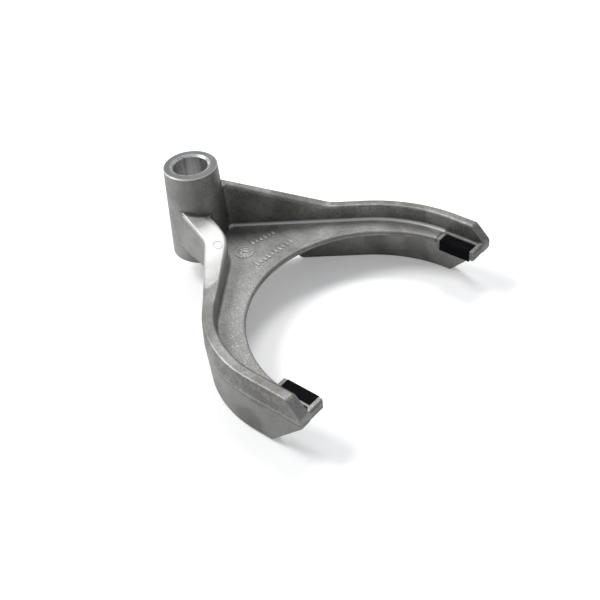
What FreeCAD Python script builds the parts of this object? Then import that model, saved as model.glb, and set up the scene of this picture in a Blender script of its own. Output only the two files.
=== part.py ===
# Shift fork: a die-cast aluminium fork that slides on a round shift rail, with a wear pad on each arm.
# Millimetres. The origin is on the rail's axis, level with the middle of the wear pads.
# +X runs from the rail boss to the open end of the fork, +Y to the straight arm, +Z up the rail.
import FreeCAD, Part
import math
import os
import Sketcher

document = FreeCAD.newDocument("ShiftFork")

# Driving dimensions, one spreadsheet cell each. A text is a size that follows from others.
sizes = {
    # whole fork
    "overallHeight": 57.6,
    "tipX": 117.45,
    "mouthCentreX": 105.2,
    "mouthRadius": 57.2,
    # rail boss
    "railBoreRadius": 8.0,
    "boreChamfer": 0.9,
    "bossTopRadius": 12.35,
    "bossFootRadius": 14.3,
    "bossTopZ": "armFootZ + overallHeight",
    "bossFootZ": -9.0,
    "bossTopBevel": 0.5,
    "bossFootBevel": 1.2,
    # web, the flat plate between the two arms
    "webTopZ": 1.1,
    "webFootZ": -2.0,
    "webBite": 2.0,
    # both arms, side view
    "armTopZ": 9.7,
    "armFootZ": -20.3,
    "armFootStartX": 36.0,
    "archX": 21.0,
    "archZ": "webFootZ",
    "castingDraft": 3.0,
    "topBevelX": 110.6,
    "topBevelZ": 2.7,
    "footBevelX": 99.9,
    "footBevelZ": "webFootZ",
    # straight arm, on the +Y side
    "straightCentreX": 99.7,
    "straightWebWidth": 5.9,
    "straightArmWidth": 5.4,
    "straightInnerRadius": "mouthRadius + straightWebWidth",
    "straightOuterRadius": "straightInnerRadius + straightArmWidth",
    "straightOuterStartY": 8.2,
    "straightInnerStartY": 1.5,
    "straightGussetX": 4.0,
    "straightGussetZ": 27.2,
    "straightGussetEndX": 45.7,
    # curved arm, on the -Y side
    "curvedCentreX": 90.3,
    "curvedWebWidth": 5.5,
    "curvedArmWidth": 5.9,
    "curvedInnerRadius": 48.7,
    "curvedOuterRadius": "curvedInnerRadius + curvedArmWidth",
    "curvedCentreY": "mouthRadius + curvedWebWidth - curvedInnerRadius",
    "neckOuterX": 18.0,
    "neckOuterY": 24.9,
    "neckOuterRadius": 6.9,
    "neckInnerX": 14.8,
    "neckInnerY": 25.2,
    "neckInnerRadius": 20.0,
    "panelStartX": 2.8,
    "panelStartInset": 1.4,
    "curvedInnerStartY": 2.2,
    "curvedGussetX": 5.0,
    "curvedGussetZ": 19.9,
    "curvedGussetEndX": 40.5,
    # wear pads
    "padLength": 15.3,
    "padEndX": "tipX - endLipLength",
    "padStartX": "padEndX - padLength",
    "padReach": 3.4,
    "padInnerY": "mouthRadius - padReach",
    "padWidth": 6.0,
    "padHalfThickness": 2.9,
    "padWall": 1.3,
    "padStandOut": 0.5,
    "padCornerBevel": 0.4,
    "padEndClearance": 0.05,
    # pad seats at the arm tips
    "endLipLength": 2.75,
    "endLipReach": 7.8,
    "endLipOuterY": "mouthRadius + endLipReach",
    "lipLength": 1.8,
    "lipStartX": "padStartX - lipLength",
    "lipInnerY": "padInnerY + padStandOut",
    "lipReach": 3.7,
    "lipOuterY": "mouthRadius + lipReach",
    # rounds
    "gussetBlend": 9.0,
    "bossJoinRound": 2.0,
    "webRound": 1.4,
    # how far a cutting outline reaches past the casting
    "cutMargin": 5.0,
}

sheet = document.addObject("Spreadsheet::Sheet", "Sizes")
for row, alias in enumerate(sizes, start=1):
    sheet.set("A%d" % row, alias)
    sheet.setAlias("B%d" % row, alias)
for row, size in enumerate(sizes.values(), start=1):
    sheet.set("B%d" % row, "=" + size if isinstance(size, str) else str(size))
document.recompute()


# A place is written as a sum of sheet names, such as "padStartX + padLength" or "- padInnerY".
def bound(text):
    return " ".join("Sizes." + word if word in sizes else word for word in text.split())


def number(text):
    return float(sheet.evalExpression(bound(text)))


def setSize(feature, property, text):
    feature.setExpression(property, bound(text))


def addBody(label):
    body = document.addObject("PartDesign::Body", label)
    body.Label = label
    return body


def addSketch(body, name, plane, offset=None):
    sketch = body.newObject("Sketcher::SketchObject", name)
    sketch.AttachmentSupport = ([f for f in body.Origin.OriginFeatures if f.Role == plane][0], [""])
    sketch.MapMode = "FlatFace"
    if offset:
        setSize(sketch, "AttachmentOffset.Base.z", offset)
    return sketch


def constrain(sketch, kind, *places, size=None):
    values = places if size is None else places + (number(size),)
    index = sketch.addConstraint(Sketcher.Constraint(kind, *values))
    if size is not None:
        sketch.setExpression("Constraints[%d]" % index, bound(size))


def corner(x, y):
    return {"x": x, "y": y, "turn": 0}


# turn is 1 where the outline runs anticlockwise round the arc and -1 where it runs clockwise.
def arc(x, y, radius, turn):
    return {"x": x, "y": y, "radius": radius, "turn": turn}


# The straight line that leaves one corner or arc and reaches the next, tangent to each arc.
def tangentLine(first, second):
    reach = [item["turn"] * number(item["radius"]) if item["turn"] else 0.0 for item in (first, second)]
    start = FreeCAD.Vector(number(first["x"]), number(first["y"]), 0)
    end = FreeCAD.Vector(number(second["x"]), number(second["y"]), 0)
    way = end - start
    heading = math.atan2(way.y, way.x) - math.asin((reach[1] - reach[0]) / way.Length)
    left = FreeCAD.Vector(-math.sin(heading), math.cos(heading), 0)
    return [place - left * distance for place, distance in zip((start, end), reach)]


def drawOutline(sketch, items):
    following = items[1:] + items[:1]
    spans = [tangentLine(item, after) for item, after in zip(items, following)]
    lines = [sketch.addGeometry(Part.LineSegment(start, end), False) for start, end in spans]
    for index, item in enumerate(items):
        before = lines[index - 1]
        after = lines[index]
        if not item["turn"]:
            constrain(sketch, "Coincident", before, 2, after, 1)
            constrain(sketch, "DistanceX", after, 1, size=item["x"])
            constrain(sketch, "DistanceY", after, 1, size=item["y"])
            continue
        centre = FreeCAD.Vector(number(item["x"]), number(item["y"]), 0)
        reached = spans[index - 1][1] - centre
        left = spans[index][0] - centre
        angles = [math.atan2(reached.y, reached.x), math.atan2(left.y, left.x)]
        if item["turn"] < 0:
            angles.reverse()
        if angles[1] < angles[0]:
            angles[1] += 2 * math.pi
        circle = Part.Circle(centre, FreeCAD.Vector(0, 0, 1), number(item["radius"]))
        curve = sketch.addGeometry(Part.ArcOfCircle(circle, *angles), False)
        entry, exit = (1, 2) if item["turn"] > 0 else (2, 1)
        constrain(sketch, "Tangent", before, 2, curve, entry)
        constrain(sketch, "Tangent", curve, exit, after, 1)
        constrain(sketch, "Radius", curve, size=item["radius"])
        constrain(sketch, "DistanceX", curve, 3, size=item["x"])
        constrain(sketch, "DistanceY", curve, 3, size=item["y"])


def addPad(body, name, sketch, length, **settings):
    pad = body.newObject("PartDesign::Pad", name)
    return finish(pad, sketch, length, settings)


def addPocket(body, name, sketch, length, **settings):
    before = body.Shape.Volume
    pocket = body.newObject("PartDesign::Pocket", name)
    finish(pocket, sketch, length, settings)
    if body.Shape.Volume > before - 1:
        raise RuntimeError(name + " cuts nothing")
    return pocket


def finish(feature, sketch, length, settings):
    feature.Profile = sketch
    for key, setting in settings.items():
        setattr(feature, key, setting)
    setSize(feature, "Length", length)
    document.recompute()
    return feature


def addRound(body, name, radius, chosen):
    base = body.Tip
    names = ["Edge%d" % (index + 1) for index, edge in enumerate(base.Shape.Edges) if chosen(edge)]
    if not names:
        raise RuntimeError(name + " finds no edge")
    fillet = body.newObject("PartDesign::Fillet", name)
    fillet.Base = (base, names)
    setSize(fillet, "Radius", radius)
    document.recompute()
    return fillet


# Outlines seen from above.
straightSide = {
    "outer": arc("straightCentreX", "0", "straightOuterRadius", 1),
    "inner": arc("straightCentreX", "0", "straightInnerRadius", 1),
}
curvedSide = {
    "outer": arc("curvedCentreX", "- curvedCentreY", "curvedOuterRadius", 1),
    "inner": arc("curvedCentreX", "- curvedCentreY", "curvedInnerRadius", 1),
}


# The arms run on past the tips here, and are trimmed square once they are drafted.
def forkOutline():
    return [
        corner("tipX + cutMargin", "mouthRadius"),
        corner("tipX + cutMargin", "straightOuterRadius"),
        straightSide["outer"],
        corner("0", "straightOuterStartY"),
        corner("- panelStartX", "- bossFootRadius + panelStartInset"),
        arc("neckOuterX", "- neckOuterY", "neckOuterRadius", -1),
        curvedSide["outer"],
        corner("tipX + cutMargin", "- curvedCentreY - curvedOuterRadius"),
        corner("tipX + cutMargin", "- mouthRadius"),
        arc("mouthCentreX", "0", "mouthRadius", -1),
    ]


# The web reaches a little way into each arm, so that the two join without a seam.
def webOutline():
    return [
        corner("tipX - webBite", "mouthRadius"),
        corner("tipX - webBite", "straightInnerRadius + webBite"),
        arc("straightCentreX", "0", "straightInnerRadius + webBite", 1),
        corner("0", "straightInnerStartY + webBite"),
        corner("0", "- curvedInnerStartY - webBite"),
        arc("neckInnerX", "- neckInnerY", "neckInnerRadius - webBite", -1),
        arc("curvedCentreX", "- curvedCentreY", "curvedInnerRadius + webBite", 1),
        corner("tipX - webBite", "- curvedCentreY - curvedInnerRadius - webBite"),
        corner("tipX - webBite", "- mouthRadius"),
        arc("mouthCentreX", "0", "mouthRadius", -1),
    ]


def pocketOutline():
    return [
        corner("tipX + cutMargin + cutMargin", "- curvedCentreY - curvedInnerRadius"),
        corner("tipX + cutMargin + cutMargin", "straightInnerRadius"),
        straightSide["inner"],
        corner("0", "straightInnerStartY"),
        corner("0", "- curvedInnerStartY"),
        arc("neckInnerX", "- neckInnerY", "neckInnerRadius", -1),
        curvedSide["inner"],
    ]


# Everything above the sloping gusset and the level arm, seen from the side.
def topCutOutline(side):
    return [
        corner("- bossFootRadius", side + "GussetZ"),
        corner(side + "GussetX", side + "GussetZ"),
        corner(side + "GussetEndX", "armTopZ"),
        corner("tipX + cutMargin", "armTopZ"),
        corner("tipX + cutMargin", "bossTopZ"),
        corner("- bossFootRadius", "bossTopZ"),
    ]


# Everything below the arch between the boss and the level foot of each arm.
def archOutline():
    return [
        corner("- bossFootRadius - cutMargin", "armFootZ - cutMargin"),
        corner("armFootStartX", "armFootZ - cutMargin"),
        corner("armFootStartX", "armFootZ"),
        corner("archX", "archZ"),
        corner("- bossFootRadius - cutMargin", "archZ"),
    ]


# Everything past the tips and the bevel above and below each.
def tipOutline():
    return [
        corner("footBevelX", "armFootZ"),
        corner("footBevelX", "armFootZ - cutMargin"),
        corner("tipX + cutMargin + cutMargin", "armFootZ - cutMargin"),
        corner("tipX + cutMargin + cutMargin", "bossTopZ"),
        corner("topBevelX", "bossTopZ"),
        corner("topBevelX", "armTopZ"),
        corner("tipX", "topBevelZ"),
        corner("tipX", "footBevelZ"),
    ]


# The arms are drafted away from the parting plane through the origin, upwards and downwards.
def addArms(body):
    plan = addSketch(body, "ArmsPlan", "XY_Plane")
    drawOutline(plan, forkOutline())
    heights = {"UpperArms": "straightGussetZ", "LowerArms": "- armFootZ"}
    for name, height in heights.items():
        arms = addPad(body, name, plan, height, Reversed=name == "LowerArms")
        setSize(arms, "TaperAngle", "- castingDraft")
    document.recompute()


def addArmPockets(body):
    plan = addSketch(body, "BetweenArmsPlan", "XY_Plane", "armFootZ")
    drawOutline(plan, pocketOutline())
    addPocket(body, "BetweenArms", plan, "bossTopZ - armFootZ", Reversed=True)
    for name, outline in (("Arch", archOutline()), ("Tips", tipOutline())):
        side = addSketch(body, name + "Side", "XZ_Plane")
        drawOutline(side, outline)
        addPocket(body, name, side, "2 * straightOuterRadius + 2 * cutMargin", Midplane=True)
    for name, flipped in (("curved", True), ("straight", False)):
        side = addSketch(body, name + "ArmTopSide", "XZ_Plane")
        drawOutline(side, topCutOutline(name))
        addPocket(body, name + "ArmTop", side, "straightOuterRadius + cutMargin", Reversed=flipped)


def addWeb(body):
    plan = addSketch(body, "WebPlan", "XY_Plane", "webFootZ")
    drawOutline(plan, webOutline())
    addPad(body, "Web", plan, "webTopZ - webFootZ")


def addBoss(body):
    side = addSketch(body, "BossSide", "XZ_Plane")
    drawOutline(side, [
        corner("0", "bossFootZ"),
        corner("bossFootRadius - bossFootBevel", "bossFootZ"),
        corner("bossFootRadius", "bossFootZ + bossFootBevel"),
        corner("bossTopRadius", "bossTopZ - bossTopBevel"),
        corner("bossTopRadius - bossTopBevel", "bossTopZ"),
        corner("0", "bossTopZ"),
    ])
    boss = body.newObject("PartDesign::Revolution", "Boss")
    boss.Profile = side
    boss.ReferenceAxis = (side, ["V_Axis"])
    boss.Angle = 360
    document.recompute()


def addBore(body):
    side = addSketch(body, "BoreSide", "XZ_Plane")
    drawOutline(side, [
        corner("0", "bossFootZ"),
        corner("railBoreRadius + boreChamfer", "bossFootZ"),
        corner("railBoreRadius", "bossFootZ + boreChamfer"),
        corner("railBoreRadius", "bossTopZ - boreChamfer"),
        corner("railBoreRadius + boreChamfer", "bossTopZ"),
        corner("0", "bossTopZ"),
    ])
    before = body.Shape.Volume
    bore = body.newObject("PartDesign::Groove", "RailBore")
    bore.Profile = side
    bore.ReferenceAxis = (side, ["V_Axis"])
    bore.Angle = 360
    document.recompute()
    if body.Shape.Volume > before - 1:
        raise RuntimeError("RailBore cuts nothing")


# side is 1 for the straight arm and -1 for the curved arm.
def across(side, place):
    return place if side > 0 else "- " + place.replace(" + ", " - ")


def clipOutline(side):
    return [
        corner(across(side, "padInnerY"), "padCornerBevel - padHalfThickness"),
        corner(across(side, "padInnerY + padCornerBevel"), "- padHalfThickness"),
        corner(across(side, "padInnerY + padWidth"), "- padHalfThickness"),
        corner(across(side, "padInnerY + padWidth"), "padWall - padHalfThickness"),
        corner(across(side, "padInnerY + padWall"), "padWall - padHalfThickness"),
        corner(across(side, "padInnerY + padWall"), "padHalfThickness - padWall"),
        corner(across(side, "padInnerY + padWidth"), "padHalfThickness - padWall"),
        corner(across(side, "padInnerY + padWidth"), "padHalfThickness"),
        corner(across(side, "padInnerY + padCornerBevel"), "padHalfThickness"),
        corner(across(side, "padInnerY"), "padHalfThickness - padCornerBevel"),
    ]


def seatOutline(side):
    return [
        corner("lipStartX", across(side, "lipInnerY")),
        corner("tipX", across(side, "lipInnerY")),
        corner("tipX", across(side, "endLipOuterY")),
        corner("padEndX", across(side, "endLipOuterY")),
        corner("padEndX", across(side, "lipOuterY")),
        corner("lipStartX", across(side, "lipOuterY")),
    ]


def addSeat(body, name, side):
    plan = addSketch(body, name + "SeatPlan", "XY_Plane", "webFootZ")
    drawOutline(plan, seatOutline(side))
    addPad(body, name + "Seat", plan, "topBevelZ - webFootZ")
    clip = addSketch(body, name + "ClipGroovePlan", "YZ_Plane", "padStartX - padEndClearance")
    drawOutline(clip, clipOutline(side))
    addPocket(body, name + "ClipGroove", clip, "padLength + 2 * padEndClearance", Reversed=True)


def buildPad(label, side):
    body = addBody(label)
    clip = addSketch(body, label + "Section", "YZ_Plane", "padStartX")
    drawOutline(clip, clipOutline(side))
    addPad(body, label + "Clip", clip, "padLength")
    return body


# Lengths closer than this are taken as equal when an edge is looked for.
nearness = 0.01
# A wall edge on the boss starts and ends at least this far inside the boss's height.
joinMargin = 1.0


def near(first, second):
    return abs(first - second) < nearness


# Where the sloping gusset of an arm runs into its level top.
def isGussetKink(edge):
    starts = [number("straightGussetEndX"), number("curvedGussetEndX")]
    return all(near(v.Z, number("armTopZ")) and any(near(v.X, x) for x in starts) for v in edge.Vertexes)


# Where the inner wall of an arm stands up from the web against the boss.
def isBossJoin(edge):
    heights = sorted(v.Z for v in edge.Vertexes)
    onBoss = all(math.hypot(v.X, v.Y) < number("bossFootRadius") for v in edge.Vertexes)
    tall = heights[0] + joinMargin < heights[-1] < number("bossTopZ") - joinMargin
    return onBoss and near(heights[0], number("webTopZ")) and tall


# Where the top of the web meets the walls of the arms and the boss, but not the mouth or the pad seats.
def isWebCorner(edge):
    middle = edge.valueAt((edge.FirstParameter + edge.LastParameter) / 2)
    if not all(near(z, number("webTopZ")) for z in [middle.z] + [v.Z for v in edge.Vertexes]):
        return False
    onMouth = near(math.hypot(middle.x - number("mouthCentreX"), middle.y), number("mouthRadius"))
    onSeat = middle.x > number("lipStartX") - nearness and abs(middle.y) < number("lipOuterY") + nearness
    onEndLip = near(middle.x, number("padEndX"))
    return not (onMouth or onSeat or onEndLip)


def check(items):
    for item in items:
        if "Invalid" in item.State or "Error" in item.State:
            raise RuntimeError("%s failed: %s" % (item.Label, item.State))


def buildCasting():
    body = addBody("fork_casting")
    addArms(body)
    addArmPockets(body)
    addWeb(body)
    addBoss(body)
    addSeat(body, "Straight", 1)
    addSeat(body, "Curved", -1)
    addBore(body)
    addRound(body, "GussetBlends", "gussetBlend", isGussetKink)
    addRound(body, "BossJoins", "bossJoinRound", isBossJoin)
    addRound(body, "WebCorners", "webRound", isWebCorner)
    return body


casting = buildCasting()
parts = [casting, buildPad("wear_pad_straight", 1), buildPad("wear_pad_curved", -1)]
document.recompute()
check(document.Objects)
os.makedirs("parts", exist_ok=True)
for body in parts:
    if body.Shape.isNull() or not body.Shape.isValid():
        raise RuntimeError(body.Label + " has no valid shape")
    print(body.Label, round(body.Shape.Volume), body.Shape.BoundBox, len(body.Shape.Solids))
    body.Shape.exportStep("parts/%s.step" % body.Label)
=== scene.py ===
import bmesh
import bpy
import math
from mathutils import Matrix, Vector


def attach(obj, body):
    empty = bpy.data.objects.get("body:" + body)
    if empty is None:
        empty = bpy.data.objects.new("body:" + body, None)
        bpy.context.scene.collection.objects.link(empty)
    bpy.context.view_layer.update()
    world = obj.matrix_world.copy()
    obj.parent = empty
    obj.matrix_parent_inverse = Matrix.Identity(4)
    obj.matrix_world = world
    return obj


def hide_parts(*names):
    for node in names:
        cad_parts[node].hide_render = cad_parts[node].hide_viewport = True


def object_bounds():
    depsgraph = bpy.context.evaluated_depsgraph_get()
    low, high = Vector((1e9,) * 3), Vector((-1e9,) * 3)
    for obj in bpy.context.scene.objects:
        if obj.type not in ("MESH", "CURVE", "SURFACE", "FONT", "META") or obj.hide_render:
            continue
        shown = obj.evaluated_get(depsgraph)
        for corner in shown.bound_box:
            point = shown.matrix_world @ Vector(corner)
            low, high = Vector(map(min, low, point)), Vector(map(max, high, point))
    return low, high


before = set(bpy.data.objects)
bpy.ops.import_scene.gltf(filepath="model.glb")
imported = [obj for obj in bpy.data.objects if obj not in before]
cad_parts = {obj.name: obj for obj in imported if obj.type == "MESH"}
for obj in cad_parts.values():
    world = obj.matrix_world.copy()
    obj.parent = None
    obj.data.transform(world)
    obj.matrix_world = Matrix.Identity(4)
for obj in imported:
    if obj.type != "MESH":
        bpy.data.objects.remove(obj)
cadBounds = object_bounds()

partMiddle = (0.05, 0.0, 0.0)
webTop = 0.0011
smoothAngle = math.radians(32.0)

# Top of the curved arm's gusset: its height on the rail's axis, and its fall along X in degrees.
gussetSlope = {
    "height": 0.02134,
    "angle": 16.03,
}
gussetFall = math.tan(math.radians(gussetSlope["angle"]))

# Camera, worked out from the picture's own perspective. Its angles are in degrees.
cameraSettings = {
    "place": (0.27688, -0.2376, 0.26033),
    "heading": 132.4,      # from +X, seen from above
    "dip": 40.46,
    "roll": -4.99,
    "lens": 55.73,
    "sensor": 36.0,
}


def addNode(tree, kind, **values):
    node = tree.nodes.new(kind)
    for name, value in values.items():
        if name in node.inputs:
            node.inputs[name].default_value = value
        else:
            setattr(node, name, value)
    return node


def addMath(tree, operation, first, second=None, third=None):
    node = tree.nodes.new("ShaderNodeMath")
    node.operation = operation
    for index, value in enumerate((first, second, third)):
        if value is None:
            continue
        if isinstance(value, (int, float)):
            node.inputs[index].default_value = value
        else:
            tree.links.new(value, node.inputs[index])
    return node.outputs[0]


def addProduct(tree, first, *others):
    for value in others:
        first = addMath(tree, "MULTIPLY", first, value)
    return first


def addSum(tree, masks, base, shares):      # a base value, changed by a share of each mask
    for mask, share in shares.items():
        base = addMath(tree, "MULTIPLY_ADD", masks[mask], share, base)
    return base


def addOffset(tree, value, level):      # how far a value is from a level, up or down
    return addMath(tree, "ABSOLUTE", addMath(tree, "SUBTRACT", value, level))


def addReach(tree, along, across):
    squares = addMath(tree, "MULTIPLY_ADD", along, along, addMath(tree, "MULTIPLY", across, across))
    return addMath(tree, "SQRT", squares)


def addRise(tree, value, low, high):      # 0 below low, 1 above high, smooth between
    node = tree.nodes.new("ShaderNodeMapRange")
    node.interpolation_type = "SMOOTHSTEP"
    node.inputs["From Min"].default_value = low
    node.inputs["From Max"].default_value = high
    tree.links.new(value, node.inputs["Value"])
    return node.outputs["Result"]


def addFall(tree, value, low, high):      # 1 below low, 0 above high
    return addMath(tree, "SUBTRACT", 1.0, addRise(tree, value, low, high))


def addBand(tree, value, start, end):      # 1 between two smooth ends
    return addMath(tree, "SUBTRACT", addRise(tree, value, *start), addRise(tree, value, *end))


def addMix(tree, factor, first, second):
    node = tree.nodes.new("ShaderNodeMix")
    node.data_type = "RGBA"
    tree.links.new(factor, node.inputs[0])
    for index, value in ((6, first), (7, second)):      # its two colour inputs
        if isinstance(value, tuple):
            node.inputs[index].default_value = value
        else:
            tree.links.new(value, node.inputs[index])
    return node.outputs[2]


def addBump(tree, shader, height, item):
    bump = addNode(tree, "ShaderNodeBump", **item)
    tree.links.new(height, bump.inputs["Height"])
    tree.links.new(bump.outputs["Normal"], shader.inputs["Normal"])


def newGroup(name, inputs, outputs):
    group = bpy.data.node_groups.new(name, "ShaderNodeTree")
    for label, kind in inputs.items():
        group.interface.new_socket(label, in_out="INPUT", socket_type=kind)
    for label in outputs:
        group.interface.new_socket(label, in_out="OUTPUT", socket_type="NodeSocketFloat")
    return group, group.nodes.new("NodeGroupInput"), group.nodes.new("NodeGroupOutput")


def newMaterial(name):
    material = bpy.data.materials.new(name)
    material.use_nodes = True
    tree = material.node_tree
    tree.nodes.clear()
    return material, tree, tree.nodes.new("ShaderNodeOutputMaterial")


skinSettings = {
    "cloud": {"Detail": 8.0, "Roughness": 0.76},
    "grain": {"Detail": 3.0, "Roughness": 0.6},
    "stain": {"Detail": 3.0, "Roughness": 0.5, "Distortion": 0.8},
    "cloudRange": (0.30, 0.72),
    "stainRange": (0.53, 0.58),
    "stainShare": 0.55,      # scale of the stains, as a share of the clouds'
}


# Cloudy tone, a fine grain and stains, shared by the cast metal and the pads.
def makeSkinGroup():
    group, entry, result = newGroup(
        "castSkin",
        {"Vector": "NodeSocketVector", "Cloud Scale": "NodeSocketFloat", "Grain Scale": "NodeSocketFloat"},
        ("Cloud", "Grain", "Stain"),
    )
    link = group.links.new
    cloud, grain, stain = (
        addNode(group, "ShaderNodeTexNoise", **skinSettings[name]) for name in ("cloud", "grain", "stain")
    )
    for texture in (cloud, grain, stain):
        link(entry.outputs["Vector"], texture.inputs["Vector"])
    stainScale = addMath(group, "MULTIPLY", entry.outputs["Cloud Scale"], skinSettings["stainShare"])
    link(entry.outputs["Cloud Scale"], cloud.inputs["Scale"])
    link(entry.outputs["Grain Scale"], grain.inputs["Scale"])
    link(stainScale, stain.inputs["Scale"])
    link(addRise(group, cloud.outputs["Fac"], *skinSettings["cloudRange"]), result.inputs["Cloud"])
    link(grain.outputs["Fac"], result.inputs["Grain"])
    link(addRise(group, stain.outputs["Fac"], *skinSettings["stainRange"]), result.inputs["Stain"])
    return group


# Where the looks of the casting change, in metres. A pair is where a mask starts and ends its change.
placeSettings = {
    "waveScale": 45.0,
    "waveHeight": 0.0014,                # how far the parting line wanders
    "partingLine": (0.0001, 0.0005),
    "belowParting": (-0.0006, 0.0010),
    "webSkin": (0.0002, 0.0012),
    "roughSide": (-0.020, 0.006),
    "slopeSkin": (0.0008, 0.0020),
    # Where the painted highlight on the curved arm's slope ends along X and across Y.
    "slopeHighlightEnd": (0.026, 0.043),
    "slopeHighlightSide": (-0.009, -0.007),
    "bossSkin": (0.0142, 0.0152),
    "bossShade": (0.002, 0.010),         # from the rail's axis towards the camera's left
    # Where the painted highlight on the near flank by the boss ends along X and across Y.
    "flankEnd": (0.028, 0.050),
    "flankSide": (-0.010, -0.004),
    "boreSkin": (0.0, 0.0002),
    "topFace": (0.0, 0.0001),
    # Where the painted highlight on the bevel round the boss's top lies, just under the top face.
    "topRim": (-0.0007, -0.0004),
    # Where the painted highlight along the fillet at the foot of the straight arm's inner wall lies: its
    # height, and the side it keeps to.
    "footHeight": 0.0021,
    "footSkin": (0.0004, 0.0009),
    "footSide": (0.002, 0.008),
    "arcCentre": 0.0997,                 # the straight arm's inner wall follows this arc past the panel
    "arcInside": (0.0600, 0.0608),
    "arcOutside": (0.0655, 0.0660),
    "panelRise": 0.83,                   # the wall by the boss is on the line y = rise * x + start
    "panelStart": 0.0015,
    "panelInside": (-0.0045, -0.0035),
    "panelOutside": (0.0030, 0.0035),
    "panelEnd": (0.0495, 0.0505),
    "seatStart": (0.0962, 0.0972),
    "seatReach": (0.0610, 0.0625),
    # Where the painted shadow line before the seat lips lies along X, and how wide it is.
    "lipShadowPlace": 0.0960,
    "lipShadowWidth": (0.0003, 0.0007),
}


# Masks that say where on the casting a point lies: boss, bore, web, slope, walls or pad seats.
# Some lay painted light: painted highlights on the near flank, the curved arm's slope, the boss's top rim
# and the foot of the straight arm's wall, painted shade on the boss and the pad seats,
# and a painted shadow line before the seat lips.
def makePlaceGroup():
    group, entry, result = newGroup(
        "castPlace",
        {
            "Vector": "NodeSocketVector",
            "Web Height": "NodeSocketFloat",
            "Machined Radius": "NodeSocketFloat",
            "Machined Height": "NodeSocketFloat",
        },
        (
            "Parting Line", "Below Parting", "Rough Web", "Web", "Foot Highlight", "Seat", "Lip Shadow",
            "Flank Highlight", "Boss", "Rim Highlight", "Slope Highlight", "Bore", "Machined",
        ),
    )
    link = group.links.new
    split = addNode(group, "ShaderNodeSeparateXYZ")
    link(entry.outputs["Vector"], split.inputs["Vector"])
    x, y, z = (split.outputs[axis] for axis in "XYZ")
    masks = {}

    wave = addNode(group, "ShaderNodeTexNoise", Scale=placeSettings["waveScale"], Detail=2.0)
    link(entry.outputs["Vector"], wave.inputs["Vector"])
    waveHeight = placeSettings["waveHeight"]
    level = addMath(group, "SUBTRACT", z, waveHeight / 2)
    level = addMath(group, "MULTIPLY_ADD", wave.outputs["Fac"], waveHeight, level)
    masks["Parting Line"] = addFall(group, addMath(group, "ABSOLUTE", level), *placeSettings["partingLine"])
    masks["Below Parting"] = addFall(group, level, *placeSettings["belowParting"])

    offWeb = addOffset(group, z, entry.outputs["Web Height"])
    masks["Web"] = addFall(group, offWeb, *placeSettings["webSkin"])
    masks["Rough Web"] = addProduct(group, masks["Web"], addFall(group, y, *placeSettings["roughSide"]))

    reach = addReach(group, x, y)
    offBoss = addRise(group, reach, *placeSettings["bossSkin"])
    # Painted shade on the boss: darker everywhere except on its side to the camera's left.
    left = math.radians(cameraSettings["heading"] + 90)
    leftward = addMath(group, "MULTIPLY", y, math.sin(left))
    leftward = addMath(group, "MULTIPLY_ADD", x, math.cos(left), leftward)
    shade = addFall(group, leftward, *placeSettings["bossShade"])
    masks["Boss"] = addProduct(group, addFall(group, reach, *placeSettings["bossSkin"]), shade)

    # Painted highlight: a lighter, less metallic patch on the curved arm's slope by the boss, standing in
    # for a softbox's reflection.
    slope = addMath(group, "SUBTRACT", z, gussetSlope["height"])
    slope = addMath(group, "MULTIPLY_ADD", x, gussetFall, slope)
    onSlope = addFall(group, addMath(group, "ABSOLUTE", slope), *placeSettings["slopeSkin"])
    beforeEnd = addFall(group, x, *placeSettings["slopeHighlightEnd"])
    onSide = addFall(group, y, *placeSettings["slopeHighlightSide"])
    masks["Slope Highlight"] = addProduct(group, onSlope, beforeEnd, onSide, offBoss)
    # Painted highlight: the near flank of the neck and boss is lightened towards the web's tone, as if lit
    # from the camera's left.
    nearBoss = addFall(group, x, *placeSettings["flankEnd"])
    masks["Flank Highlight"] = addProduct(group, nearBoss, addFall(group, y, *placeSettings["flankSide"]))

    fromBore = addMath(group, "SUBTRACT", reach, entry.outputs["Machined Radius"])
    fromTop = addMath(group, "SUBTRACT", z, entry.outputs["Machined Height"])
    masks["Bore"] = addFall(group, fromBore, *placeSettings["boreSkin"])
    onTop = addRise(group, fromTop, *placeSettings["topFace"])
    masks["Machined"] = addMath(group, "MAXIMUM", masks["Bore"], onTop)
    # Painted highlight on the bevel round the boss's top face.
    masks["Rim Highlight"] = addBand(group, fromTop, placeSettings["topRim"], placeSettings["topFace"])

    # Painted highlight along the fillet at the foot of the straight arm's inner wall, on the web, stopping
    # before the pad seat.
    onFoot = addFall(group, addOffset(group, z, placeSettings["footHeight"]), *placeSettings["footSkin"])
    arc = addReach(group, addMath(group, "SUBTRACT", x, placeSettings["arcCentre"]), y)
    inArc = addBand(group, arc, placeSettings["arcInside"], placeSettings["arcOutside"])
    panel = addMath(group, "SUBTRACT", y, placeSettings["panelStart"])
    panel = addMath(group, "MULTIPLY_ADD", x, -placeSettings["panelRise"], panel)
    inPanel = addBand(group, panel, placeSettings["panelInside"], placeSettings["panelOutside"])
    inArc = addProduct(group, inArc, addRise(group, x, *placeSettings["panelEnd"]))
    inPanel = addProduct(group, inPanel, addFall(group, x, *placeSettings["panelEnd"]))
    byWall = addMath(group, "ADD", inArc, inPanel)
    straightSide = addRise(group, y, *placeSettings["footSide"])
    beforeSeat = addFall(group, x, *placeSettings["seatStart"])
    masks["Foot Highlight"] = addProduct(group, onFoot, byWall, straightSide, beforeSeat)

    # Painted shade over the pad seats and their end lips.
    inReach = addFall(group, addMath(group, "ABSOLUTE", y), *placeSettings["seatReach"])
    masks["Seat"] = addProduct(group, addRise(group, x, *placeSettings["seatStart"]), inReach)
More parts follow.
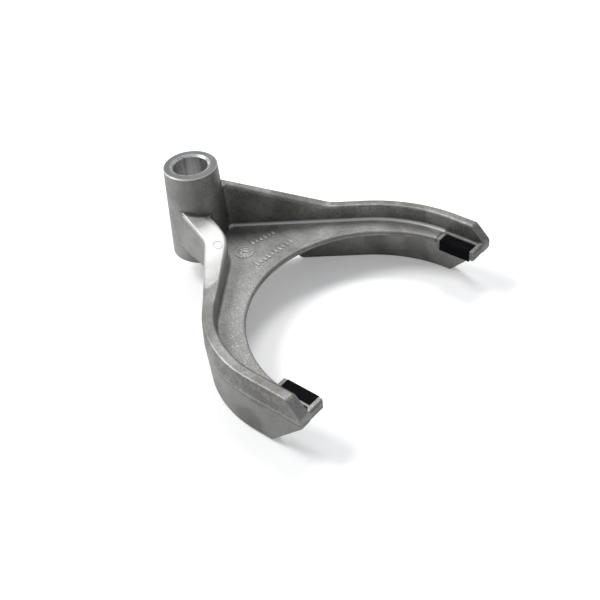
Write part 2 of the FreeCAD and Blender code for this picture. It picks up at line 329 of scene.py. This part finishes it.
    # A painted shadow line in the corner just before each seat lip.
    onLipShadow = addFall(group, addOffset(group, x, placeSettings["lipShadowPlace"]), *placeSettings["lipShadowWidth"])
    masks["Lip Shadow"] = addProduct(group, onLipShadow, inReach)

    for name, mask in masks.items():
        link(mask, result.inputs[name])
    return group


skinGroup = makeSkinGroup()
placeGroup = makePlaceGroup()

castingSettings = {
    "dark": (0.115, 0.113, 0.107, 1.0),
    "light": (0.300, 0.297, 0.286, 1.0),
    "speck": (0.480, 0.478, 0.465, 1.0),
    "stain": (0.120, 0.114, 0.100, 1.0),
    "line": (0.08, 0.078, 0.07, 1.0),
    # the web's own tone, also laid on the near flank as a painted highlight
    "webAndFlankHighlight": (0.36, 0.358, 0.35, 1.0),
    # painted shade, laid on the boss and on the pad seats
    "shadeTone": (0.088, 0.086, 0.082, 1.0),
    # painted shadow line in the corner before the seat lips
    "lipShadow": (0.030, 0.029, 0.027, 1.0),
    # near-white of the painted highlights on the boss's top rim, along the foot of the straight arm's wall
    # and on the rounded edges; the raised marks are lightened towards it as well
    "edge": (0.86, 0.86, 0.85, 1.0),
    # colour of the painted highlight on the curved arm's slope
    "slopeHighlight": (0.62, 0.62, 0.61, 1.0),
    "fleck": (0.90, 0.90, 0.89, 1.0),
    "turned": (0.39, 0.39, 0.385, 1.0),
    "polished": (0.95, 0.95, 0.95, 1.0),
    "skinValues": {"Cloud Scale": 48.0, "Grain Scale": 1500.0},
    "placeValues": {
        "Web Height": webTop,
        "Machined Radius": 0.0091,
        "Machined Height": cadBounds[1][2] - 0.00012,      # just under the boss's top
    },
    "speckRange": (0.42, 0.64),
    "fleckRange": (0.54, 0.68),
    "streaks": {"Scale": 1.0, "Detail": 3.0, "Roughness": 0.6},
    "streakScale": (700.0, 700.0, 18.0),
    "streakRange": (0.24, 0.52),
    "coats": (      # a mask, how much of its colour it lays on, and the colour, in this order
        ("Specks", 0.24, "speck"),
        ("Below Parting", 0.48, "light"),
        ("Stain", 0.42, "stain"),
        ("Flecks", 0.55, "fleck"),
        ("Parting Line", 0.45, "line"),
        ("Web", 0.05, "webAndFlankHighlight"),
        ("Rough Web", 0.421, "webAndFlankHighlight"),
        # The coats below are painted light: a painted highlight on the near flank, painted shade on the
        # boss and the pad seats, a painted shadow line before the seat lips, and painted highlights on the
        # boss's top rim and along the foot of the straight arm's wall.
        ("Flank Highlight", 0.42, "webAndFlankHighlight"),
        ("Boss", 0.42, "shadeTone"),
        ("Seat", 0.32, "shadeTone"),
        ("Lip Shadow", 0.80, "lipShadow"),
        ("Rim Highlight", 0.60, "edge"),
        ("Foot Highlight", 0.90, "edge"),
    ),
    # how much of the painted slope highlight is laid on
    "slopeHighlightShare": 0.82,
    # painted highlight on the upward faces of the rounded edges
    "edgeHighlight": 0.05,
    # how far the raised dial and bars are lightened towards the edge colour
    "markLightening": 0.16,
    "metal": (0.80, {"Slope Highlight": -0.36, "Web": -0.42, "Machined": 0.20}),
    "roughness": (0.54, {"Cloud": -0.08, "Rough Web": 0.10, "Machined": -0.20}),
    "grainHeight": (0.6, {"Rough Web": 1.4}),
    "grainLeft": (1.0, {"Machined": -0.5}),      # how much grain the turning tool leaves
    "bump": {"Strength": 0.35, "Distance": 0.00012},
}


def makeCastAluminium(name, lightening):      # lightening: how far the tone is lightened towards the near-white edge colour
    material, tree, output = newMaterial(name)
    link = tree.links.new
    coordinates = addNode(tree, "ShaderNodeTexCoord")
    skin = addNode(tree, "ShaderNodeGroup", node_tree=skinGroup, **castingSettings["skinValues"])
    place = addNode(tree, "ShaderNodeGroup", node_tree=placeGroup, **castingSettings["placeValues"])
    stretch = addNode(tree, "ShaderNodeMapping", Scale=castingSettings["streakScale"])
    for item in (skin, place, stretch):
        link(coordinates.outputs["Object"], item.inputs["Vector"])
    streaks = addNode(tree, "ShaderNodeTexNoise", **castingSettings["streaks"])
    link(stretch.outputs["Vector"], streaks.inputs["Vector"])

    masks = {mask.name: mask for mask in (*skin.outputs, *place.outputs)}
    masks["Specks"] = addRise(tree, masks["Grain"], *castingSettings["speckRange"])
    flecks = addRise(tree, masks["Grain"], *castingSettings["fleckRange"])
    masks["Flecks"] = addProduct(tree, flecks, masks["Rough Web"])
    tone = addMix(tree, masks["Cloud"], castingSettings["dark"], castingSettings["light"])
    for mask, share, colour in castingSettings["coats"]:
        tone = addMix(tree, addProduct(tree, masks[mask], share), tone, castingSettings[colour])
    # Lighter towards the edge colour: on the rounded edges this is a painted highlight, on the raised marks
    # a lighter tone.
    if lightening:
        lightened = addMath(tree, "MULTIPLY_ADD", addRise(tree, masks["Cloud"], 0.0, 1.0), lightening, lightening)
        tone = addMix(tree, lightened, tone, castingSettings["edge"])
    # painted highlight on the curved arm's slope
    slopeHighlight = addProduct(tree, masks["Slope Highlight"], castingSettings["slopeHighlightShare"])
    tone = addMix(tree, slopeHighlight, tone, castingSettings["slopeHighlight"])
    streak = addRise(tree, streaks.outputs["Fac"], *castingSettings["streakRange"])
    streak = addProduct(tree, streak, masks["Bore"])
    turned = addMix(tree, streak, castingSettings["turned"], castingSettings["polished"])

    shader = addNode(tree, "ShaderNodeBsdfPrincipled")
    link(addMix(tree, masks["Machined"], tone, turned), shader.inputs["Base Color"])
    link(addSum(tree, masks, *castingSettings["metal"]), shader.inputs["Metallic"])
    link(addSum(tree, masks, *castingSettings["roughness"]), shader.inputs["Roughness"])
    height = addSum(tree, masks, *castingSettings["grainHeight"])
    height = addProduct(tree, masks["Grain"], height, addSum(tree, masks, *castingSettings["grainLeft"]))
    addBump(tree, shader, height, castingSettings["bump"])
    link(shader.outputs["BSDF"], output.inputs["Surface"])
    return material


padSettings = {
    "dark": (0.0015, 0.0015, 0.002, 1.0),
    "light": (0.005, 0.005, 0.006, 1.0),
    "specular": 0.02,
    "roughness": (0.38, {"Cloud": 0.14}),
    "skinValues": {"Cloud Scale": 240.0, "Grain Scale": 3200.0},
    "bump": {"Strength": 0.2, "Distance": 0.00005},
}


def makePadPlastic():
    material, tree, output = newMaterial("padPlastic")
    link = tree.links.new
    coordinates = addNode(tree, "ShaderNodeTexCoord")
    skin = addNode(tree, "ShaderNodeGroup", node_tree=skinGroup, **padSettings["skinValues"])
    link(coordinates.outputs["Object"], skin.inputs["Vector"])
    shader = addNode(tree, "ShaderNodeBsdfPrincipled")
    shader.inputs["Specular IOR Level"].default_value = padSettings["specular"]
    tone = addMix(tree, skin.outputs["Cloud"], padSettings["dark"], padSettings["light"])
    link(tone, shader.inputs["Base Color"])
    link(addSum(tree, skin.outputs, *padSettings["roughness"]), shader.inputs["Roughness"])
    addBump(tree, shader, skin.outputs["Grain"], padSettings["bump"])
    link(shader.outputs["BSDF"], output.inputs["Surface"])
    return material


floorSettings = {
    "size": 6.0,
    "colour": (0.88, 0.88, 0.88, 1.0),
    "nearLift": 0.25,      # white added where the camera sees the floor
    "farLift": 0.90,
    "near": 0.10,          # metres from the part's middle
    "far": 0.40,
}


def makeFloorMaterial():
    material, tree, output = newMaterial("paleFloor")
    link = tree.links.new
    diffuse = addNode(tree, "ShaderNodeBsdfDiffuse", Color=floorSettings["colour"])
    path = addNode(tree, "ShaderNodeLightPath")
    coordinates = addNode(tree, "ShaderNodeTexCoord")
    distance = addNode(tree, "ShaderNodeVectorMath", operation="DISTANCE")
    link(coordinates.outputs["Object"], distance.inputs[0])
    distance.inputs[1].default_value = partMiddle
    spread = addNode(tree, "ShaderNodeMapRange", interpolation_type="SMOOTHSTEP")
    link(distance.outputs["Value"], spread.inputs["Value"])
    spread.inputs["From Min"].default_value = floorSettings["near"]
    spread.inputs["From Max"].default_value = floorSettings["far"]
    spread.inputs["To Min"].default_value = floorSettings["nearLift"]
    spread.inputs["To Max"].default_value = floorSettings["farLift"]
    glow = addNode(tree, "ShaderNodeEmission")
    link(addProduct(tree, path.outputs["Is Camera Ray"], spread.outputs["Result"]), glow.inputs["Strength"])
    both = addNode(tree, "ShaderNodeAddShader")
    link(diffuse.outputs[0], both.inputs[0])
    link(glow.outputs[0], both.inputs[1])
    link(both.outputs[0], output.inputs["Surface"])
    return material


castAluminium = makeCastAluminium("castAluminium", 0.0)
# A lighter copy of the cast metal for the upward faces of the rounded edges: a painted highlight.
highlitEdge = makeCastAluminium("highlitEdge", castingSettings["edgeHighlight"])
lightenedMark = makeCastAluminium("lightenedMark", castingSettings["markLightening"])
padPlastic = makePadPlastic()
print("materials done")


def deselectAll():
    for item in bpy.context.selected_objects:
        item.select_set(False)


def chooseOnly(item):
    deselectAll()
    item.select_set(True)
    bpy.context.view_layer.objects.active = item


def dressNode(name, material):
    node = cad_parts[name]
    for slot in node.material_slots:
        slot.material = material
    if not node.material_slots:
        node.data.materials.append(material)


roundingSettings = {
    "merge": 0.000002,
    "flatAngle": 0.4,                # degrees
    "width": 0.0014,
    "steps": 5,
    "profile": 0.5,
    "angle": 34.0,                   # degrees, the least corner that is rounded
    "bossReach": 0.0146,             # the boss and the pad seats keep the solid's own edges
    "seatStart": 0.0968,
    "seatEnd": 0.1165,
    "seatReach": 0.0612,
    "highlitTilt": (0.35, 0.90),      # upward part of the normal of a rounded face that takes the painted highlight
    "highlitArea": 0.00003,           # square metres, the largest face that takes the painted highlight
}


# A corner that the die leaves round: rims of the arms, mouth and tips, but not of the boss or the seats.
def isRoundedEdge(edge):
    if len(edge.link_faces) != 2:
        return False
    if edge.calc_face_angle_signed(0.0) < math.radians(roundingSettings["angle"]):
        return False
    middle = (edge.verts[0].co + edge.verts[1].co) / 2
    byBoss = math.hypot(middle.x, middle.y) < roundingSettings["bossReach"]
    bySeat = (
        roundingSettings["seatStart"] < middle.x < roundingSettings["seatEnd"]
        and abs(middle.y) < roundingSettings["seatReach"]
    )
    return not byBoss and not bySeat


# A small upward-tilting face of a new round, which takes the painted highlight.
def isHighlitFace(face):
    low, high = roundingSettings["highlitTilt"]
    return face.select and low < face.normal.z < high and face.calc_area() < roundingSettings["highlitArea"]


def makeRoundedCasting():
    casting = bpy.data.objects.new("roundedCasting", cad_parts["fork_casting"].data.copy())
    bpy.context.scene.collection.objects.link(casting)
    chooseOnly(casting)
    bpy.ops.mesh.customdata_custom_splitnormals_clear()
    bpy.ops.object.mode_set(mode="EDIT")
    bpy.ops.mesh.select_all(action="SELECT")
    bpy.ops.mesh.remove_doubles(threshold=roundingSettings["merge"])
    bpy.ops.mesh.dissolve_limited(angle_limit=math.radians(roundingSettings["flatAngle"]))
    bpy.ops.mesh.select_all(action="DESELECT")
    work = bmesh.from_edit_mesh(casting.data)
    chosen = [edge for edge in work.edges if isRoundedEdge(edge)]
    for edge in chosen:
        edge.select_set(True)
    print("casting:", len(chosen), "edges to round")
    bmesh.update_edit_mesh(casting.data)
    bpy.ops.mesh.bevel(
        offset=roundingSettings["width"],
        offset_type="OFFSET",
        segments=roundingSettings["steps"],
        profile=roundingSettings["profile"],
        clamp_overlap=False,
        loop_slide=True,
    )
    casting.data.materials.clear()
    casting.data.materials.append(castAluminium)
    casting.data.materials.append(highlitEdge)
    # Upward-tilting faces of the new rounds take the second material, a painted highlight.
    work = bmesh.from_edit_mesh(casting.data)
    for face in work.faces:
        if not isHighlitFace(face):
            face.select_set(False)
    bmesh.update_edit_mesh(casting.data)
    casting.active_material_index = 1
    bpy.ops.object.material_slot_assign()
    bpy.ops.object.mode_set(mode="OBJECT")
    bpy.ops.object.shade_smooth_by_angle(angle=smoothAngle)
    weighted = casting.modifiers.new("evenShading", "WEIGHTED_NORMAL")
    weighted.keep_sharp = True
    bpy.ops.object.modifier_apply(modifier="evenShading")
    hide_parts("fork_casting")
    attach(casting, "root")
    print("casting done,", len(casting.data.polygons), "faces")


makeRoundedCasting()
dressNode("wear_pad_straight", padPlastic)
dressNode("wear_pad_curved", padPlastic)
print("pads done")

levelFace = 0.9      # least upward part of a level face's normal


# One small raised disc with a sloped edge, a flat rim and a sunk middle.
def addDisc(name, item):
    bpy.ops.mesh.primitive_cylinder_add(
        vertices=item["sides"],
        radius=item["radius"],
        depth=item["depth"],
        location=(0, 0, item["rise"] - item["depth"] / 2),
    )
    disc = bpy.context.object
    disc.name = name
    bpy.ops.object.transform_apply(location=True, rotation=True, scale=True)
    bpy.ops.object.mode_set(mode="EDIT")
    bpy.ops.mesh.select_all(action="DESELECT")
    work = bmesh.from_edit_mesh(disc.data)
    for face in work.faces:
        face.select_set(face.normal.z > levelFace)
    bmesh.update_edit_mesh(disc.data)
    bpy.ops.mesh.inset(thickness=item["slope"], depth=0.0)
    bpy.ops.transform.translate(value=(0, 0, item["slopeRise"]))
    bpy.ops.mesh.inset(thickness=item["rim"], depth=0.0)
    bpy.ops.mesh.inset(thickness=item["slope"], depth=-item["sink"])
    bpy.ops.object.mode_set(mode="OBJECT")
    return disc


# One small bar with bevelled edges, set out from the Z axis by its reach and turned about that axis.
def addBar(name, item, angle):
    bpy.ops.mesh.primitive_cube_add(size=1.0, location=(0, 0, 0))
    bar = bpy.context.object
    bar.name = name
    bar.scale = item["size"]
    bar.location = (item["reach"], 0, item["level"])
    bpy.ops.object.transform_apply(location=True, rotation=True, scale=True)
    bpy.ops.object.mode_set(mode="EDIT")
    bpy.ops.mesh.select_all(action="SELECT")
    bpy.ops.mesh.bevel(offset=item["bevel"], segments=item["steps"], clamp_overlap=True)
    bpy.ops.object.mode_set(mode="OBJECT")
    bar.rotation_euler = (0, 0, angle)
    bpy.ops.object.transform_apply(location=True, rotation=True, scale=True)
    return bar


def placePiece(item, place, tilt=0.0):
    chooseOnly(item)
    item.rotation_euler = (0, tilt, 0)
    item.location = place
    bpy.ops.object.transform_apply(location=True, rotation=True, scale=True)


def joinPieces(items, name, material):
    deselectAll()
    for item in items:
        item.select_set(True)
    bpy.context.view_layer.objects.active = items[0]
    bpy.ops.object.join()
    piece = bpy.context.object
    piece.name = name
    bpy.ops.object.shade_smooth_by_angle(angle=smoothAngle)
    piece.data.materials.clear()
    piece.data.materials.append(material)
    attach(piece, "root")
    print(name, "done")


# A round dial cast on the web, with twelve ticks and a pointer.
dialSettings = {
    "place": (0.0296, -0.0017, webTop),
    "sides": 64,
    "radius": 0.0044,
    "depth": 0.0005,
    "rise": 0.0001,
    "slope": 0.0002,
    "slopeRise": 0.00026,
    "rim": 0.0004,
    "sink": 0.0003,
    "ticks": 12,
    "tick": {
        "size": (0.0013, 0.0005, 0.0007), "reach": 0.0027, "level": 0.00015, "bevel": 0.00012, "steps": 2,
    },
    "pointer": {
        "size": (0.0026, 0.0006, 0.0007), "reach": 0.0002, "level": 0.00018, "bevel": 0.00012, "steps": 2,
    },
    "pointerAngle": 35.0,      # degrees
}


def makeCastingDial():
    parts = [addDisc("dialDisc", dialSettings)]
    for step in range(dialSettings["ticks"]):
        parts.append(addBar("dialTick", dialSettings["tick"], step * math.tau / dialSettings["ticks"]))
    parts.append(addBar("dialPointer", dialSettings["pointer"], math.radians(dialSettings["pointerAngle"])))
    for item in parts:
        placePiece(item, dialSettings["place"])
    joinPieces(parts, "castingDial", lightenedMark)


# Two rows of plain short bars cast on the web, each row running from its first bar to its last.
barSettings = {
    "rows": (
        {"first": (0.0277, 0.0057), "last": (0.0308, 0.0172), "count": 6},
        {"first": (0.0400, -0.0049), "last": (0.0414, 0.0169), "count": 10},
    ),
    "lengths": (0.0034, 0.0026, 0.0031),
    "width": 0.0012,
    "thickness": 0.0008,
    "bevel": 0.0003,
    "steps": 2,
}


def makeCastBars():
    parts = []
    for row in barSettings["rows"]:
        span = Vector(row["last"]) - Vector(row["first"])
        across = math.atan2(span.y, span.x) + math.radians(90)
        for step in range(row["count"]):
            length = barSettings["lengths"][step % len(barSettings["lengths"])]
            size = (length, barSettings["width"], barSettings["thickness"])
            bar = addBar("castBar", {**barSettings, "size": size, "reach": 0.0, "level": 0.0}, across)
            middle = Vector(row["first"]) + span * (step / (row["count"] - 1))
            placePiece(bar, (middle.x, middle.y, webTop))
            parts.append(bar)
    joinPieces(parts, "castBars", lightenedMark)


# Witness rings that two ejector pins left on the slope of the curved arm.
pinMarkSettings = {
    "marks": (
        {"place": (0.0135, -0.0120), "radius": 0.0022},
        {"place": (0.0276, -0.0155), "radius": 0.0023},
    ),
    "sides": 48,
    "depth": 0.0004,
    "rise": 0.00002,
    "slope": 0.00014,
    "slopeRise": 0.00014,
    "rim": 0.00022,
    "sink": 0.00016,
}


def makePinMarks():
    parts = []
    for mark in pinMarkSettings["marks"]:
        x, y = mark["place"]
        z = round(gussetSlope["height"] - gussetFall * x, 5)      # to a hundredth of a millimetre
        ring = addDisc("pinMark", {**pinMarkSettings, "radius": mark["radius"]})
        placePiece(ring, (x, y, z), math.radians(gussetSlope["angle"]))
        parts.append(ring)
    joinPieces(parts, "pinMarks", castAluminium)


makeCastingDial()
makeCastBars()
makePinMarks()


def addFloor():
    bpy.ops.mesh.primitive_plane_add(size=floorSettings["size"], location=(0, 0, cadBounds[0][2]))
    floor = bpy.context.object
    floor.name = "floor"
    floor.data.materials.append(makeFloorMaterial())


lightSettings = {
    "world": (0.80, 0.82, 0.85, 1.0),
    "worldStrength": 0.41,
    "backdrop": (1.0, 1.0, 1.0, 1.0),      # what the camera sees past the floor
    "lamps": {
        "backSoftbox": {"place": (-0.27, 0.58, 1.16), "size": 0.50, "power": 8.6},
        "leftSoftbox": {"place": (-0.70, -0.32, 1.02), "size": 0.55, "power": 12.4},
    },
}


def addWorld():
    world = bpy.data.worlds.new("studio")
    world.use_nodes = True
    tree = world.node_tree
    link = tree.links.new
    light = tree.nodes["Background"]
    light.inputs["Color"].default_value = lightSettings["world"]
    light.inputs["Strength"].default_value = lightSettings["worldStrength"]
    backdrop = addNode(tree, "ShaderNodeBackground", Color=lightSettings["backdrop"])
    path = addNode(tree, "ShaderNodeLightPath")
    choice = addNode(tree, "ShaderNodeMixShader")
    link(path.outputs["Is Camera Ray"], choice.inputs[0])
    link(light.outputs[0], choice.inputs[1])
    link(backdrop.outputs[0], choice.inputs[2])
    link(choice.outputs[0], tree.nodes["World Output"].inputs["Surface"])
    bpy.context.scene.world = world


def addLamps():
    for name, lamp in lightSettings["lamps"].items():
        bpy.ops.object.light_add(type="AREA", location=lamp["place"])
        light = bpy.context.object
        light.name = name
        light.data.shape = "SQUARE"
        light.data.size = lamp["size"]
        light.data.energy = lamp["power"]
        way = Vector(partMiddle) - Vector(lamp["place"])
        light.rotation_euler = way.to_track_quat("-Z", "Y").to_euler()


def addCamera():
    bpy.ops.object.camera_add(location=cameraSettings["place"])
    camera = bpy.context.object
    camera.name = "camera"
    camera.data.lens = cameraSettings["lens"]
    camera.data.sensor_width = cameraSettings["sensor"]
    turn = (
        Matrix.Rotation(math.radians(cameraSettings["heading"] - 90), 4, "Z")
        @ Matrix.Rotation(math.radians(90 - cameraSettings["dip"]), 4, "X")
        @ Matrix.Rotation(math.radians(cameraSettings["roll"]), 4, "Z")
    )
    camera.rotation_euler = turn.to_euler()
    bpy.context.scene.camera = camera


addFloor()
addWorld()
addLamps()
addCamera()
bpy.context.scene.view_settings.view_transform = "Standard"
print("stage done")
